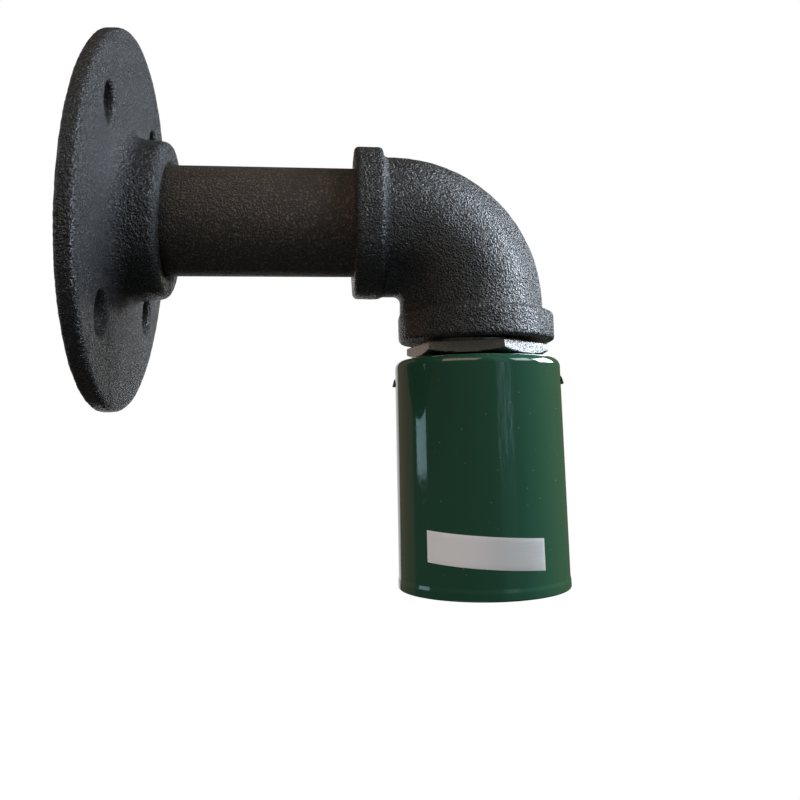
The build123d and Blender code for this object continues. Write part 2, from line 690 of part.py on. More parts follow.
with BuildPart() as earth_lead:
    with BuildLine() as earth_route:
        FilletPolyline(
            lamp_point(0, 2 * CORE_Y, CABLE_END_Z),
            lamp_point(0, 2 * CORE_Y, LEAD_RUN_Z),
            lamp_point(EARTH_TURN_X, EARTH_TURN_Y, LEAD_RUN_Z),
            lamp_point(EARTH_TURN_X, EARTH_Y, BARREL_Z),
            lamp_point(TAG_X - BARREL_FLOOR, EARTH_Y, BARREL_Z),
            radius=LEAD_BEND,
        )
    with BuildSketch(Plane(earth_route.line @ 0, z_dir=earth_route.line % 0)):
        Circle(LEAD_R)
    sweep()
save(earth_lead, "earth_lead")

# the sheathed cable lies on the pipe's axis and turns down on the lamp's axis
with BuildPart() as supply_cable:
    with BuildLine() as cable_route:
        FilletPolyline(
            (CABLE_START, 0, 0),
            (LAMP_X, 0, 0),
            (LAMP_X, 0, CABLE_END_Z),
            radius=CABLE_BEND,
        )
    with BuildSketch(Plane(cable_route.line @ 0, z_dir=cable_route.line % 0)):
        Circle(CABLE_R)
    sweep()
save(supply_cable, "supply_cable")
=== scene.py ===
"""The looks of an industrial pipe wall light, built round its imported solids.

The frame is in metres: +X runs out of the wall along the pipe, +Z is up, and the lamp cup
hangs down on the axis at LAMP_X. Solids that are already right keep their mesh and get a
finish. The castings, the pipe, the turned bushing, the enamelled cup, the lamp thread and
the bracket's screws are made again with the surface that the real ones have. The label
and the cable's cut end are pieces of this script alone.
"""

import json
import math

import bmesh
import bpy
from mathutils import Matrix, Vector


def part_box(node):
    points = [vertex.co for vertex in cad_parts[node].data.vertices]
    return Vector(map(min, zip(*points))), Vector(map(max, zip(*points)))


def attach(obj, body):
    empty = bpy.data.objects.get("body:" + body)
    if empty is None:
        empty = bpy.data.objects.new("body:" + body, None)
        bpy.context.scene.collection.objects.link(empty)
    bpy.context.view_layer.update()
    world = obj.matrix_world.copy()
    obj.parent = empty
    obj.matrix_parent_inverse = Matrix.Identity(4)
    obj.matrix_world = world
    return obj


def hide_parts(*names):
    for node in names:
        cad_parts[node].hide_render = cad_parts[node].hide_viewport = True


MM = 0.001

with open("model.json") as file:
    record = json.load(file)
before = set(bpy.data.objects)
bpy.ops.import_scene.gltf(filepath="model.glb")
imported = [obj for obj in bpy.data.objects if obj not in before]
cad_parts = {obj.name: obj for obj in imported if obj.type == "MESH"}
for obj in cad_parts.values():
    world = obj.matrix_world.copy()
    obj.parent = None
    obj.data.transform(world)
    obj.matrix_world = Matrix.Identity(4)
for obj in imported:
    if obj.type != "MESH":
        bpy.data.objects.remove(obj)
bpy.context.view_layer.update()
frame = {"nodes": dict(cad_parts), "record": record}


# ---- sizes taken from the frame --------------------------------------------------------

PIPE_LOW, PIPE_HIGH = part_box("pipe_nipple")
CUP_LOW, CUP_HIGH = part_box("lamp_cup")
HOLDER_LOW, HOLDER_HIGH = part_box("holder_body")
SHELL_LOW, SHELL_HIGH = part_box("screw_shell")
BUSHING_LOW, BUSHING_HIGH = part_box("hex_bushing")
SCREWS_LOW, SCREWS_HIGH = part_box("bracket_screws")
TUBE_LOW, TUBE_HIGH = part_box("threaded_tube")
ELBOW_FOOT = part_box("elbow")[0].z
CABLE_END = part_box("supply_cable")[0].x

LAMP_X = (HOLDER_LOW.x + HOLDER_HIGH.x) / 2
PIPE_R = PIPE_HIGH.z
TUBE_R = (TUBE_HIGH.x - TUBE_LOW.x) / 2


# ---- node graphs -----------------------------------------------------------------------

MIX_FACTOR, MIX_LOW, MIX_HIGH, MIX_RESULT = 0, 6, 7, 2      # the Mix node's colour sockets


class Value:
    """A number in a node graph. Arithmetic on it adds Math nodes."""

    def __init__(self, graph, socket):
        self.graph = graph
        self.socket = socket

    def __add__(self, other):
        return self.graph.math("ADD", self, other)

    def __sub__(self, other):
        return self.graph.math("SUBTRACT", self, other)

    def __rsub__(self, other):
        return self.graph.math("SUBTRACT", other, self)

    def __mul__(self, other):
        return self.graph.math("MULTIPLY", self, other)

    def __truediv__(self, other):
        return self.graph.math("DIVIDE", self, other)

    def __rtruediv__(self, other):
        return self.graph.math("DIVIDE", other, self)

    def __pow__(self, other):
        return self.graph.math("POWER", self, other)

    __radd__ = __add__
    __rmul__ = __mul__


class Graph:
    """A node tree that is filled from Python."""

    def __init__(self, tree):
        self.tree = tree

    def node(self, kind, settings=None, inputs=None):
        """Adds a node: its settings first, then the values or links of its sockets."""
        made = self.tree.nodes.new(kind)
        for key, value in (settings or {}).items():
            setattr(made, key, value)
        for key, value in (inputs or {}).items():
            self.feed(made.inputs[key], value)
        return made

    def feed(self, socket, value):
        """Links a value, a socket or a node's first output, or writes a plain value."""
        if isinstance(value, Value):
            value = value.socket
        if isinstance(value, bpy.types.Node):
            value = value.outputs[0]
        if isinstance(value, bpy.types.NodeSocket):
            self.tree.links.new(value, socket)
        else:
            socket.default_value = value

    def math(self, operation, *values):
        made = self.node("ShaderNodeMath", {"operation": operation}, dict(enumerate(values)))
        return Value(self, made.outputs[0])

    def steps(self, value, low, high, to_low=0.0, to_high=1.0):
        """The value's place between low and high, smoothed, as a number between two others."""
        made = self.node(
            "ShaderNodeMapRange",
            {"interpolation_type": "SMOOTHSTEP"},
            {"Value": value, "From Min": low, "From Max": high,
             "To Min": to_low, "To Max": to_high},
        )
        return Value(self, made.outputs[0])

    def blend(self, factor, low, high):
        """A colour between two others."""
        made = self.node("ShaderNodeMix", {"data_type": "RGBA"})
        for index, value in ((MIX_FACTOR, factor), (MIX_LOW, low), (MIX_HIGH, high)):
            if isinstance(value, tuple):
                value = (*value, 1.0)
            self.feed(made.inputs[index], value)
        return made.outputs[MIX_RESULT]

    def parts(self, vector):
        """A vector's three numbers."""
        made = self.node("ShaderNodeSeparateXYZ", inputs={0: vector})
        return [Value(self, out) for out in made.outputs]


class Finish(Graph):
    """A material with a Principled shader that reads Object coordinates.

    The colour and roughness that it starts with are its average. Patterns take their place."""

    def __init__(self, name, colour, roughness, metallic=0.0, **sockets):
        self.material = bpy.data.materials.new(name)
        self.material.use_nodes = True
        super().__init__(self.material.node_tree)
        self.shader = self.tree.nodes["Principled BSDF"]
        self.place = self.node("ShaderNodeTexCoord").outputs["Object"]
        self.set("Base Color", (*colour, 1.0))
        self.set("Roughness", roughness)
        self.set("Metallic", metallic)
        for key, value in sockets.items():
            self.set(key.replace("_", " "), value)

    def set(self, socket, value):
        self.feed(self.shader.inputs[socket], value)

    def stretched(self, scale):
        """The object's place, scaled unevenly."""
        made = self.node("ShaderNodeMapping", inputs={"Vector": self.place, "Scale": scale})
        return made.outputs[0]

    def noise(self, size, detail=2.0, roughness=0.5, place=None):
        """Noise from 0 to 1 with lumps of about the given size."""
        made = self.node(
            "ShaderNodeTexNoise",
            inputs={
                "Vector": place or self.place,
                "Scale": 1 / size,
                "Detail": detail,
                "Roughness": roughness,
            },
        )
        return Value(self, made.outputs[0])

    def cells(self, size):
        """The distance from the nearest of many scattered points, in units of their spacing."""
        made = self.node("ShaderNodeTexVoronoi", inputs={"Vector": self.place, "Scale": 1 / size})
        return Value(self, made.outputs[0])

    def bump(self, height, depth):
        """Roughens the surface by a height from 0 to 1, over earlier bumps."""
        made = self.node("ShaderNodeBump", inputs={"Height": height, "Distance": depth})
        earlier = self.shader.inputs["Normal"].links
        if earlier:
            self.feed(made.inputs["Normal"], earlier[0].from_socket)
        self.set("Normal", made)


# ---- finishes --------------------------------------------------------------------------

def cast_iron():
    """Black lacquer over the grain of a sand casting."""
    made = Finish("cast_iron", (0.02, 0.02, 0.022), 0.4)
    grain = made.noise(0.48 * MM, detail=2.0, roughness=0.6)
    lumps = made.noise(1.1 * MM, detail=2.0)
    patches = made.noise(16 * MM, detail=3.0)
    worn = made.steps(lumps, 0.5, 0.72)
    base = made.blend(patches, (0.004, 0.004, 0.005), (0.009, 0.009, 0.0105))
    flecked = made.blend(made.steps(grain, 0.56, 0.66), base, (0.040, 0.040, 0.043))
    made.set("Base Color", made.blend(worn, flecked, (0.026, 0.0265, 0.029)))
    made.set("Roughness", made.steps(grain, 0.35, 0.65, 0.42, 0.18))
    made.bump(lumps, 0.28 * MM)
    made.bump(grain, 0.75 * MM)
    return made.material


def black_pipe():
    """Satin black lacquer on drawn tube, slightly brown, with fine grain."""
    made = Finish("black_pipe", (0.024, 0.019, 0.016), 0.5)
    grain = made.noise(0.5 * MM, detail=2.0, roughness=0.6)
    drawn = made.noise(1.0 * MM, detail=2.0, place=made.stretched((0.04, 1.0, 1.0)))
    patches = made.noise(14 * MM, detail=3.0)
    base = made.blend(patches, (0.009, 0.007, 0.005), (0.022, 0.015, 0.010))
    made.set("Base Color", made.blend(made.steps(grain, 0.53, 0.65), base, (0.11, 0.07, 0.045)))
    made.set("Roughness", made.steps(drawn, 0.3, 0.7, 0.4, 0.55))
    made.bump(drawn, 0.04 * MM)
    made.bump(grain, 0.55 * MM)
    return made.material


def bright_plate():
    """Nickel plated turned steel with a few stains."""
    made = Finish("bright_plate", (0.33, 0.325, 0.32), 0.34, metallic=1.0)
    stains = made.noise(0.7 * MM, detail=4.0, roughness=0.7)
    spots = made.steps(stains, 0.62, 0.72)
    made.set("Base Color", made.blend(spots, (0.34, 0.335, 0.33), (0.12, 0.10, 0.08)))
    made.set("Roughness", made.steps(stains, 0.3, 0.7, 0.2, 0.36))
    made.bump(stains, 0.02 * MM)
    return made.material


def zinc_plate():
    """Dull zinc on pressed steel."""
    made = Finish("zinc_plate", (0.5, 0.52, 0.54), 0.38, metallic=1.0)
    bloom = made.noise(2.5 * MM, detail=4.0)
    made.set("Base Color", made.blend(bloom, (0.42, 0.44, 0.46), (0.6, 0.62, 0.64)))
    made.set("Roughness", made.steps(bloom, 0.3, 0.7, 0.3, 0.46))
    made.bump(made.noise(0.4 * MM), 0.01 * MM)
    return made.material


def green_enamel():
    """Dark green gloss enamel with a faint orange peel and dust, and painted light that turns it
    yellower on the right.
    """
    made = Finish("green_enamel", (0.012, 0.05, 0.03), 0.07)
    depth = made.noise(22 * MM, detail=2.0)
    dust = made.steps(made.cells(2.0 * MM), 0.045, 0.03)
    # painted light: the enamel's colour turns yellower towards the right, where warm light falls on it
    across = made.parts(made.place)[0]
    right = made.steps(across, LAMP_X + 4 * MM, LAMP_X + 18 * MM)
    cool = made.blend(depth, (0.015, 0.064, 0.041), (0.018, 0.079, 0.048))
    base = made.blend(right, cool, (0.018, 0.056, 0.026))
    made.set("Base Color", made.blend(dust, base, (0.32, 0.4, 0.3)))
    made.set("Roughness", made.steps(made.noise(1.2 * MM, detail=4.0), 0.35, 0.75, 0.05, 0.12))
    made.bump(made.noise(2.8 * MM, detail=1.0), 0.006 * MM)
    return made.material


def silver_foil():
    """The bare label: brushed silver foil with a painted sheen, pale at its left end and grey at its
    right.
    """
    made = Finish("silver_foil", (0.78, 0.78, 0.82), 0.5)
    brushed = made.noise(0.25 * MM, detail=3.0, place=made.stretched((0.05, 0.05, 1.0)))
    across = made.parts(made.place)[0]
    # painted sheen: the foil's colour runs from pale at its left end to grey at its right, as the
    # room's light reflects off it
    right = made.steps(across, LAMP_X - 12 * MM, LAMP_X + 10 * MM)
    painted_sheen = made.blend(right, (0.92, 0.92, 0.98), (0.36, 0.35, 0.34))
    made.set("Base Color", made.blend(brushed * 0.2, painted_sheen, (0.86, 0.86, 0.90)))
    made.set("Roughness", made.steps(brushed, 0.3, 0.7, 0.46, 0.54))
    made.bump(brushed, 0.008 * MM)
    return made.material


def porcelain():
    """White glaze with a faint warm body under it."""
    made = Finish("porcelain", (0.82, 0.81, 0.77), 0.12, Coat_Weight=0.4, Coat_Roughness=0.05)
    clouds = made.noise(6 * MM, detail=3.0)
    specks = made.steps(made.cells(1.8 * MM), 0.05, 0.03)
    base = made.blend(clouds, (0.78, 0.77, 0.72), (0.86, 0.85, 0.82))
    made.set("Base Color", made.blend(specks, base, (0.36, 0.31, 0.26)))
    made.bump(made.noise(3 * MM, detail=1.0), 0.02 * MM)
    return made.material


def brass():
    """Rolled brass sheet, slightly dulled."""
    made = Finish("brass", (0.72, 0.5, 0.2), 0.28, metallic=1.0)
    tarnish = made.noise(3 * MM, detail=4.0, roughness=0.6)
    made.set("Base Color", made.blend(tarnish, (0.62, 0.40, 0.15), (0.82, 0.62, 0.28)))
    made.set("Roughness", made.steps(tarnish, 0.3, 0.7, 0.22, 0.4))
    made.bump(made.noise(0.3 * MM), 0.006 * MM)
    return made.material


def tin_plate():
    """Tinned copper of the crimped tag."""
    made = Finish("tin_plate", (0.62, 0.62, 0.6), 0.3, metallic=1.0)
    bloom = made.noise(1.5 * MM, detail=3.0)
    made.set("Base Color", made.blend(bloom, (0.55, 0.54, 0.51), (0.7, 0.7, 0.68)))
    made.bump(bloom, 0.02 * MM)
    return made.material


def moulded(name, colour, roughness):
    """Rubber, nylon, a lead's insulation or dull copper: one colour with a fine skin."""
    made = Finish(name, colour, roughness)
    skin = made.noise(0.5 * MM, detail=3.0)
    darker = tuple(0.8 * part for part in colour)
    made.set("Base Color", made.blend(skin, darker, colour))
    made.set("Roughness", made.steps(skin, 0.3, 0.7, roughness - 0.08, roughness + 0.08))
    made.bump(skin, 0.02 * MM)
    return made.material


def earth_sheath():
    """Green insulation with slanting yellow stripes."""
    made = Finish("lead_green", (0.08, 0.3, 0.06), 0.45)
    x, y, z = made.parts(made.place)
    wave = made.math("SINE", (x + y + z) * (2 * math.pi / (5 * MM)))
    stripe = made.steps(wave, 0.3, 0.5)
    made.set("Base Color", made.blend(stripe, (0.06, 0.28, 0.05), (0.75, 0.62, 0.05)))
    made.bump(made.noise(0.5 * MM), 0.01 * MM)
    return made.material


FINISHES = {
    "cast_iron": cast_iron(),
    "black_pipe": black_pipe(),
    "bright_plate": bright_plate(),
    "zinc_plate": zinc_plate(),
    "green_enamel": green_enamel(),
    "porcelain": porcelain(),
    "brass": brass(),
    "tin_plate": tin_plate(),
    "black_rubber": moulded("black_rubber", (0.02, 0.02, 0.021), 0.7),
    "white_nylon": moulded("white_nylon", (0.72, 0.71, 0.66), 0.4),
    "cable_sheath": moulded("cable_sheath", (0.02, 0.02, 0.02), 0.5),
    "lead_brown": moulded("lead_brown", (0.13, 0.055, 0.025), 0.42),
    "lead_blue": moulded("lead_blue", (0.02, 0.09, 0.36), 0.42),
    "lead_green": earth_sheath(),
}
SILVER_FOIL = silver_foil()
COPPER = moulded("copper", (0.8, 0.36, 0.2), 0.3)


# ---- mesh helpers ----------------------------------------------------------------------

def new_piece(name, mesh, body, slot, material=None):
    """A finished mesh becomes a piece that rides on a body."""
    mesh.name = name
    mesh.materials.clear()
    mesh.materials.append(material or FINISHES[slot])
    piece = bpy.data.objects.new(name, mesh)
    bpy.context.scene.collection.objects.link(piece)
    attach(piece, body)
    return piece


def smooth(mesh, angle=35.0):
    """Smooth shading with the edges sharper than the angle kept."""
    for face in mesh.polygons:
        face.use_smooth = True
    mesh.set_sharp_from_angle(angle=math.radians(angle))


def rounded(corners, steps=8):
    """An outline of (radius, along, rounding) corners with each rounding as an arc."""
    points = []
    count = len(corners)
    for index, (r, a, rounding) in enumerate(corners):
        here = Vector((r, a))
        before = Vector(corners[index - 1][:2])
        after = Vector(corners[(index + 1) % count][:2])
        if not rounding:
            points.append(here)
            continue
        arm_in = (before - here).normalized()
        arm_out = (after - here).normalized()
        half = arm_in.angle(arm_out) / 2
        reach = rounding / math.tan(half)
        centre = here + (arm_in + arm_out).normalized() * (rounding / math.sin(half))
        start = here + arm_in * reach - centre
        sweep = (here + arm_out * reach - centre).angle_signed(start)
        for step in range(steps + 1):
            points.append(centre + Matrix.Rotation(sweep * step / steps, 2) @ start)
    return points


def bridge(bm, ring, after):
    """Faces between two rings of equally many points."""
    for index in range(len(ring)):
        other = (index + 1) % len(ring)
        bm.faces.new((ring[index], ring[other], after[other], after[index]))


def closed_mesh(bm, name, angle=35.0):
    """A closed skin as a mesh, with its faces turned outwards and smooth shading."""
    bmesh.ops.recalc_face_normals(bm, faces=bm.faces)
    mesh = bpy.data.meshes.new(name)
    bm.to_mesh(mesh)
    bm.free()
    smooth(mesh, angle)
    return mesh


def lathe(outline, segments, along_x=False, centre=(0.0, 0.0)):
    """Turns a closed outline of (radius, along) points about X, or about a vertical axis."""
    bm = bmesh.new()
    rings = []
    for step in range(segments):
        angle = 2 * math.pi * step / segments
        c, s = math.cos(angle), math.sin(angle)
        ring = []
        for r, a in outline:
            place = (a, r * c, r * s) if along_x else (centre[0] + r * c, centre[1] + r * s, a)
            ring.append(bm.verts.new(place))
        rings.append(ring)
    for ring, after in zip(rings, rings[1:] + rings[:1]):
        bridge(bm, ring, after)
    bmesh.ops.remove_doubles(bm, verts=bm.verts, dist=1e-7)
    return closed_mesh(bm, "turned")


def merged_copy(node):
    """A CAD node's mesh as one closed skin."""
    bm = bmesh.new()
    bm.from_mesh(frame["nodes"][node].data)
    bmesh.ops.remove_doubles(bm, verts=bm.verts, dist=1e-6)
    mesh = bpy.data.meshes.new(node)
    bm.to_mesh(mesh)
    bm.free()
    return mesh


def settled(mesh, *modifiers):
    """The mesh after its modifiers. Each is a type, its settings and, for a rule, its inputs."""
    holder = bpy.data.objects.new("bench", mesh)
    bpy.context.scene.collection.objects.link(holder)
    for kind, settings, inputs in modifiers:
        modifier = holder.modifiers.new(kind.lower(), kind)
        for key, value in settings.items():
            setattr(modifier, key, value)
        if inputs:
            for socket in modifier.node_group.interface.items_tree:
                if socket.name in inputs:
                    modifier[socket.identifier] = inputs[socket.name]
    evaluated = holder.evaluated_get(bpy.context.evaluated_depsgraph_get())
    made = bpy.data.meshes.new_from_object(evaluated)
    holder.modifiers.clear()
    bpy.data.objects.remove(holder)
    return made


# ---- geometry rules --------------------------------------------------------------------

class Rule(Graph):
    """A Geometry Nodes tree with named inputs. It ends in Realize Instances and Set Material."""

    def __init__(self, name, inputs):
        super().__init__(bpy.data.node_groups.new(name, "GeometryNodeTree"))
        face = self.tree.interface
        face.new_socket("Geometry", in_out="INPUT", socket_type="NodeSocketGeometry")
        for key, kind in inputs.items():
            face.new_socket(key, in_out="INPUT", socket_type=kind)
        face.new_socket("Geometry", in_out="OUTPUT", socket_type="NodeSocketGeometry")
        self.given = self.node("NodeGroupInput").outputs

    def number(self, name):
        return Value(self, self.given[name])

    def end(self, geometry):
        real = self.node("GeometryNodeRealizeInstances", inputs={0: geometry})
        done = self.node(
            "GeometryNodeSetMaterial", inputs={"Geometry": real, "Material": self.given["Material"]}
        )
        self.node("NodeGroupOutput", inputs={0: done})
        return self.tree


FLOAT = "NodeSocketFloat"
MATERIAL = "NodeSocketMaterial"


def cast_skin():
    """Moves a skin in and out by lumps of two sizes, as a sand mould leaves it."""
    rule = Rule("cast_skin", {
        "Swell": FLOAT,
        "Wide Size": FLOAT,
        "Wide Height": FLOAT,
        "Grain Size": FLOAT,
        "Grain Height": FLOAT,
        "Material": MATERIAL,
    })
    place = rule.node("GeometryNodeInputPosition").outputs[0]
    moved = rule.number("Swell")
    for word in ("Wide", "Grain"):
        lumps = rule.node(
            "ShaderNodeTexNoise",
            inputs={"Vector": place, "Scale": 1.0 / rule.number(f"{word} Size"), "Detail": 2.0},
        )
        moved = moved + (Value(rule, lumps.outputs[0]) - 0.5) * rule.number(f"{word} Height")
    normal = rule.node("GeometryNodeInputNormal").outputs[0]
    offset = rule.node(
        "ShaderNodeVectorMath", {"operation": "SCALE"}, {"Vector": normal, "Scale": moved}
    )
    skin = rule.node(
        "GeometryNodeSetPosition", inputs={"Geometry": rule.given["Geometry"], "Offset": offset}
    )
    return rule.end(skin)


def rolled_shell():
    """The wall of a lamp thread: a sleeve rolled in and out along a helix."""
    rule = Rule("rolled_shell", {
        "Radius": FLOAT,
        "Length": FLOAT,
        "Pitch": FLOAT,
        "Depth": FLOAT,
        "Lead In": FLOAT,
        "Material": MATERIAL,
    })
    sleeve = rule.node("GeometryNodeMeshCylinder", {"fill_type": "NONE"}, {
        "Vertices": 144,
        "Side Segments": 90,
        "Radius": rule.number("Radius"),
        "Depth": rule.number("Length"),
    })
    place = rule.node("GeometryNodeInputPosition").outputs[0]
    x, y, z = rule.parts(place)
    turn = rule.math("ARCTAN2", y, x)
    wave = rule.math("COSINE", z * (2 * math.pi) / rule.number("Pitch") - turn)
    ridge = (wave * 0.5 + 0.5) ** 0.8
    end = rule.number("Length") / 2 - rule.math("ABSOLUTE", z)
    inwards = ridge * rule.number("Depth") * rule.steps(end, 0.0, rule.number("Lead In")) * -1.0
    offset = rule.node("ShaderNodeCombineXYZ", inputs={
        0: rule.math("COSINE", turn) * inwards,
        1: rule.math("SINE", turn) * inwards,
    })
    rolled = rule.node("GeometryNodeSetPosition", inputs={"Geometry": sleeve, "Offset": offset})
    return rule.end(rolled)


def thread_ridge():
    """A raised helix, for the crests of a cut thread."""
    rule = Rule("thread_ridge", {
        "Radius": FLOAT,
        "Pitch": FLOAT,
        "Turns": FLOAT,
        "Depth": FLOAT,
        "Material": MATERIAL,
    })
    path = rule.node("GeometryNodeCurveSpiral", inputs={
        "Resolution": 96,
        "Rotations": rule.number("Turns"),
        "Start Radius": rule.number("Radius"),
        "End Radius": rule.number("Radius"),
        "Height": rule.number("Pitch") * rule.number("Turns"),
    })
    upright = rule.node("GeometryNodeSetCurveNormal", {"mode": "Z_UP"}, {"Curve": path})
    crest = rule.node(
        "GeometryNodeCurvePrimitiveCircle", inputs={"Resolution": 4, "Radius": rule.number("Depth")}
    )
    swept = rule.node(
        "GeometryNodeCurveToMesh", inputs={"Curve": upright, "Profile Curve": crest, "Fill Caps": True}
    )
    return rule.end(swept)


def slotted_heads():
    """A slotted cheese head on every vertex of the mesh it is given."""
    rule = Rule("slotted_heads", {
        "Radius": FLOAT,
        "Height": FLOAT,
        "Slot Width": FLOAT,
        "Slot Depth": FLOAT,
        "Material": MATERIAL,
    })
    disc = rule.node("GeometryNodeMeshCylinder", inputs={
        "Vertices": 48,
        "Radius": rule.number("Radius"),
        "Depth": rule.number("Height"),
    })
    size = rule.node("ShaderNodeCombineXYZ", inputs={
        0: rule.number("Radius") * 2.4,
        1: rule.number("Slot Width"),
        2: rule.number("Slot Depth") * 2.0,
    })
    cutter = rule.node("GeometryNodeMeshCube", inputs={"Size": size})
    low = rule.node("ShaderNodeCombineXYZ", inputs={2: rule.number("Height") * -0.5})
    lowered = rule.node("GeometryNodeTransform", inputs={"Geometry": cutter, "Translation": low})
    cut = rule.node("GeometryNodeMeshBoolean", {"operation": "DIFFERENCE", "solver": "EXACT"})
    rule.feed(cut.inputs["Mesh 1"], disc)
    rule.feed(cut.inputs["Mesh 2"], lowered)
    heads = rule.node(
        "GeometryNodeInstanceOnPoints", inputs={"Points": rule.given["Geometry"], "Instance": cut}
    )
    return rule.end(heads)


# ---- the castings ----------------------------------------------------------------------

CAST_SKIN = cast_skin()
SKIN = {
    "Swell": 0.1 * MM,             # how far the skin stands proud of the solid
    "Wide Size": 7 * MM,
    "Wide Height": 0.3 * MM,
    "Grain Size": 1.6 * MM,
    "Grain Height": 0.09 * MM,
    "Material": FINISHES["cast_iron"],
}
ELBOW_FACED = 0.1 * MM             # the elbow's lower end is faced flat this far up


def casting(name, node, body, voxel, lowest=None):
    """A casting: the node's solid, softened at its edges and with an uneven skin.

    Where lowest is given, the skin ends flat at that height."""
    mesh = settled(
        merged_copy(node),
        ("REMESH", {"mode": "VOXEL", "voxel_size": voxel, "use_smooth_shade": True}, None),
        ("SMOOTH", {"factor": 0.5, "iterations": 2}, None),
        ("NODES", {"node_group": CAST_SKIN}, SKIN),
    )
    for face in mesh.polygons:
        face.use_smooth = True
    if lowest is not None:
        for vertex in mesh.vertices:
            vertex.co.z = max(vertex.co.z, lowest)
    piece = new_piece(name, mesh, body, "cast_iron")
    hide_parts(node)


casting("flange_casting", "wall_flange", "wall_base", voxel=0.52 * MM)
casting("elbow_casting", "elbow", "elbow_arm", voxel=0.45 * MM, lowest=ELBOW_FOOT + ELBOW_FACED)


# ---- the pipe --------------------------------------------------------------------------

PIPE_WALL = 2.65 * MM
PIPE_CHAMFER = 0.6 * MM


def pipe():
    """The drawn tube, with its cut ends chamfered."""
    bore = PIPE_R - PIPE_WALL
    face = PIPE_R - PIPE_CHAMFER
    low, high = PIPE_LOW.x, PIPE_HIGH.x
    outline = rounded([
        (bore, low, 0.2 * MM),
        (face, low, 0.1 * MM),
        (PIPE_R, low + PIPE_CHAMFER, 0.1 * MM),
        (PIPE_R, high - PIPE_CHAMFER, 0.1 * MM),
        (face, high, 0.1 * MM),
        (bore, high, 0.2 * MM),
    ], steps=3)
    mesh = lathe(outline, segments=160, along_x=True)
    piece = new_piece("pipe_tube", mesh, "wall_base", "black_pipe")
    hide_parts("pipe_nipple")


pipe()


# ---- the hex bushing -------------------------------------------------------------------

HEX_AF = 30 * MM
HEX_TURN = -19.0                   # a corner, in degrees round the lamp's axis
HEX_THICK = 2.7 * MM
CHAMFER_R = 15 * MM                # the chamfer under the hexagon's corners starts here
CHAMFER_SLOPE = 1.1 / 2.6
HEX_EDGE = 0.15 * MM               # width of the softened edges
COLLAR_R = PIPE_R - 0.2 * MM       # the collar, up to the root of its thread
COLLAR_CHAMFER = 0.5 * MM
WELL_R = 10 * MM                   # the wide bore, down to the M10 thread
M10_LAND = 8 * MM                  # length of the M10 thread
PIPE_PITCH = 1.81 * MM
PIPE_TURNS = 7.5
PIPE_RIDGE = 0.22 * MM
PIPE_THREAD_END = 0.6 * MM         # plain length above the last ridge


def hex_radius(angle):
    """How far the hexagon's edge is from the axis, in a direction."""
    side = math.radians(60)
    across = (angle - math.radians(HEX_TURN)) % side - side / 2
    return HEX_AF / 2 / math.cos(across)


def bushing_section(far):
    """The bushing's section in a direction where the hexagon reaches this far out."""
    bottom = BUSHING_LOW.z
    top = bottom + HEX_THICK
    land = bottom + M10_LAND
    rise = (far - CHAMFER_R) * CHAMFER_SLOPE
    lift = HEX_EDGE * CHAMFER_SLOPE
    return [
        (TUBE_R, bottom),
        (CHAMFER_R - HEX_EDGE, bottom),
        (CHAMFER_R + HEX_EDGE, bottom + lift),
        (max(far - HEX_EDGE, CHAMFER_R + HEX_EDGE), bottom + max(rise - lift, HEX_EDGE)),
        (far, bottom + rise + HEX_EDGE),
        (far, top - HEX_EDGE),
        (far - HEX_EDGE, top),
        (COLLAR_R, top),
        (COLLAR_R, BUSHING_HIGH.z - COLLAR_CHAMFER),
        (COLLAR_R - COLLAR_CHAMFER, BUSHING_HIGH.z),
        (WELL_R, BUSHING_HIGH.z),
        (WELL_R, land),
        (TUBE_R, land),
    ]


def bushing():
    """The bushing: a hexagon with chamfered corners under a turned collar."""
    sections = 6 * 24
    bm = bmesh.new()
    rings = []
    for step in range(sections):
        angle = math.radians(HEX_TURN) + 2 * math.pi * step / sections
        c, s = math.cos(angle), math.sin(angle)
        section = bushing_section(hex_radius(angle))
        rings.append([bm.verts.new((LAMP_X + r * c, r * s, z)) for r, z in section])
    for ring, after in zip(rings, rings[1:] + rings[:1]):
        bridge(bm, ring, after)
    mesh = closed_mesh(bm, "bushing", angle=20.0)
    piece = new_piece("turned_bushing", mesh, "lamp_head", "bright_plate")
    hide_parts("hex_bushing")


def bushing_thread():
    """The crests of the thread round the collar."""
    mesh = settled(
        bpy.data.meshes.new("seed"),
        ("NODES", {"node_group": thread_ridge()}, {
            "Radius": PIPE_R - PIPE_RIDGE,
            "Pitch": PIPE_PITCH,
            "Turns": PIPE_TURNS,
            "Depth": PIPE_RIDGE,
            "Material": FINISHES["bright_plate"],
        }),
    )
    start = BUSHING_HIGH.z - PIPE_THREAD_END - PIPE_TURNS * PIPE_PITCH
    mesh.transform(Matrix.Translation((LAMP_X, 0, start)))
    smooth(mesh, 20.0)
    new_piece("bushing_thread", mesh, "lamp_head", "bright_plate")


bushing()
bushing_thread()


# ---- the enamelled cup -----------------------------------------------------------------

CUP_R = 19.8 * MM
CUP_MOUTH_R = 19.4 * MM
CUP_WALL = 0.9 * MM
CUP_CORNER = 2.0 * MM
BEAD_OUT = 0.15 * MM
BEAD_H = 2.4 * MM
BEAD_STEP = 0.7 * MM               # the wall swells to the bead over this height
NIB_TURN = -10.0                   # the nibs' line, in degrees from the pipe's
NIB_DROP = 3.4 * MM
NIB_ROOT = 0.5 * MM                # how far a nib is let into the wall
NIB_H = 2.6 * MM
NIB_OUT = 0.75 * MM
NIB_W = 2.6 * MM
NIB_FLANK = 0.35                   # the share of NIB_OUT that its ends fall back


def wall_radius(z):
    """The cup's outside at a height. It draws in a little towards the mouth."""
    share = (CUP_HIGH.z - z) / (CUP_HIGH.z - CUP_LOW.z - BEAD_H)
    return CUP_R + (CUP_MOUTH_R - CUP_R) * share


